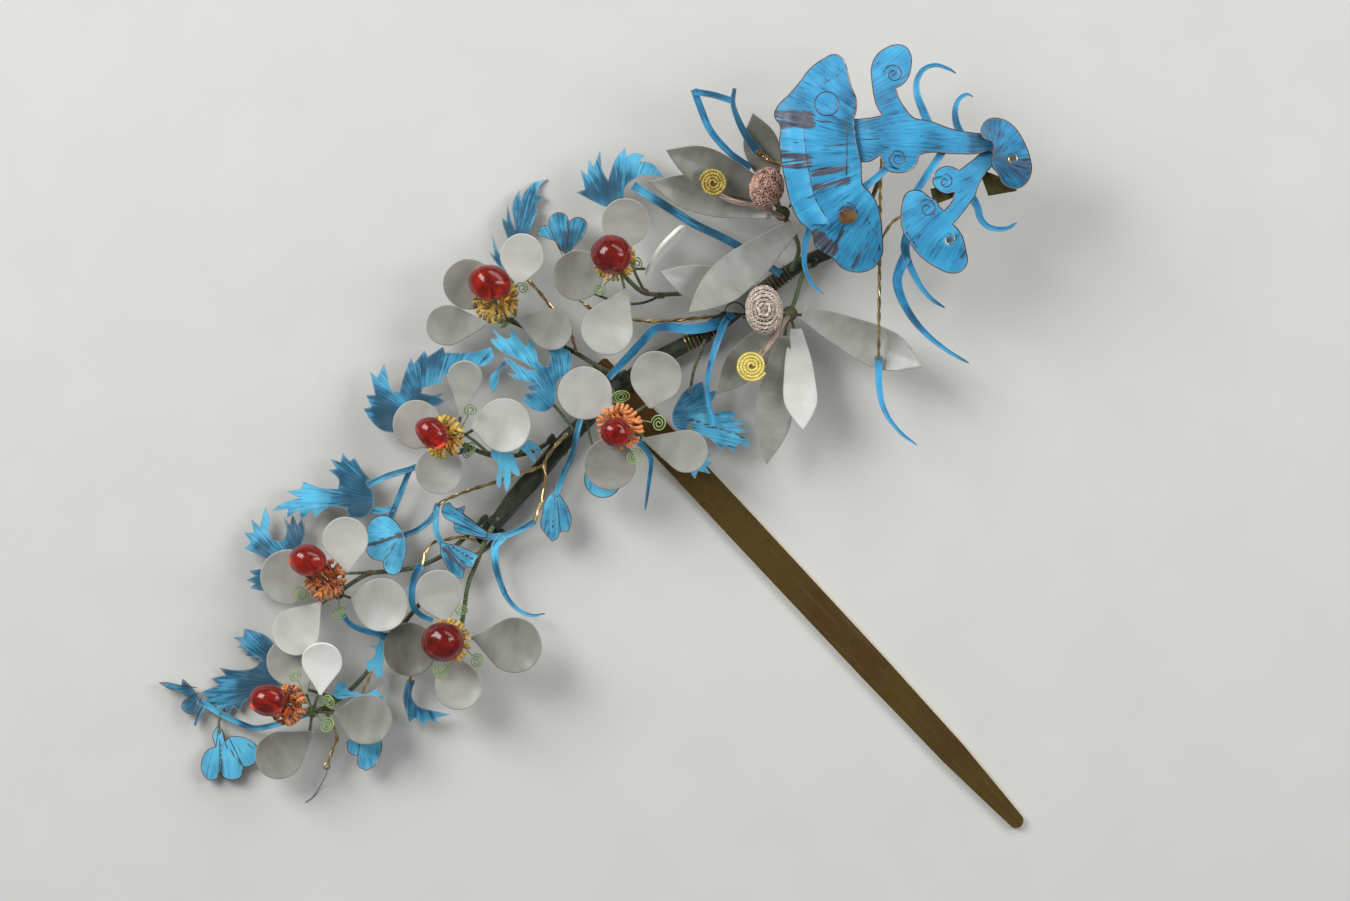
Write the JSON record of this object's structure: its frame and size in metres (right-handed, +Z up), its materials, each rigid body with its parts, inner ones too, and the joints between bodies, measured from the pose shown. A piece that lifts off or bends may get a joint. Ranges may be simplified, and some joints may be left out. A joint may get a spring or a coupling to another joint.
{
  "type": "flower hair ornament",
  "caption": "Hair ornament: a flat brass hair blade carrying a slanting spray of pale shell blossoms with red glass beads, lilies, blue feathered leaves and a cloud scroll.",
  "frame": {"origin": "middle of the bounding box at its underside, on the surface on which the ornament lies", "axes": "+X to the right of the picture, +Y up the picture, +Z up from the surface towards the camera"},
  "size_m": [0.1746, 0.1566, 0.0268],
  "materials": {
    "brass": "satin, dulled by age",
    "green_silk": "dark green silk floss wound over wire",
    "gilt": "bright twisted gilt wire",
    "shell": "silky grey-white mother of pearl",
    "ruby_glass": "polished, crackled inside",
    "orange_thread": "looped silk thread",
    "yellow_thread": "looped and coiled silk thread",
    "green_wire": "fine wire wound with pale green silk",
    "pink_thread": "knotted silk thread",
    "feather": "bright blue feather laid on gilt sheet, with thin gilt rims and worn brown patches"
  },
  "bodies": {
    "root": {"blade": "brass", "main_stem": "green_silk", "twigs": "green_silk", "gilt_wires": "gilt", "petals_1": "shell", "petals_2": "shell", "petals_3": "shell", "petals_4": "shell", "petals_5": "shell", "petals_6": "shell", "petals_7": "shell", "bead_1": "ruby_glass", "bead_2": "ruby_glass", "bead_3": "ruby_glass", "bead_4": "ruby_glass", "bead_5": "ruby_glass", "bead_6": "ruby_glass", "bead_7": "ruby_glass", "ruff_1": "orange_thread", "ruff_2": "orange_thread", "ruff_3": "yellow_thread", "ruff_4": "yellow_thread", "ruff_5": "yellow_thread", "ruff_6": "yellow_thread", "ruff_7": "orange_thread", "coils_1": "green_wire", "coils_2": "green_wire", "coils_3": "green_wire", "coils_4": "green_wire", "coils_5": "green_wire", "coils_6": "green_wire", "coils_7": "green_wire", "lily_petals_1": "shell", "lily_petals_2": "shell", "lily_knot_1": "pink_thread", "lily_knot_2": "pink_thread", "lily_disc_1": "yellow_thread", "lily_disc_2": "yellow_thread", "leaf_low_left": "feather", "leaf_left": "feather", "leaf_far_left": "feather", "leaf_upper_left": "feather", "leaf_middle": "feather", "leaf_short": "feather", "leaf_top_left": "feather", "leaf_top": "feather", "leaf_right": "feather", "leaf_low": "feather", "spray_low": "feather", "spray_side": "feather", "spray_stem": "feather", "buds": "feather", "middle_tendrils": "feather", "lily_tendrils": "feather", "cloud_fan": "feather", "cloud_branch": "feather", "cloud_head": "feather", "cloud_cap": "feather", "cloud_tendrils": "feather"}
  },
  "joints": []
}
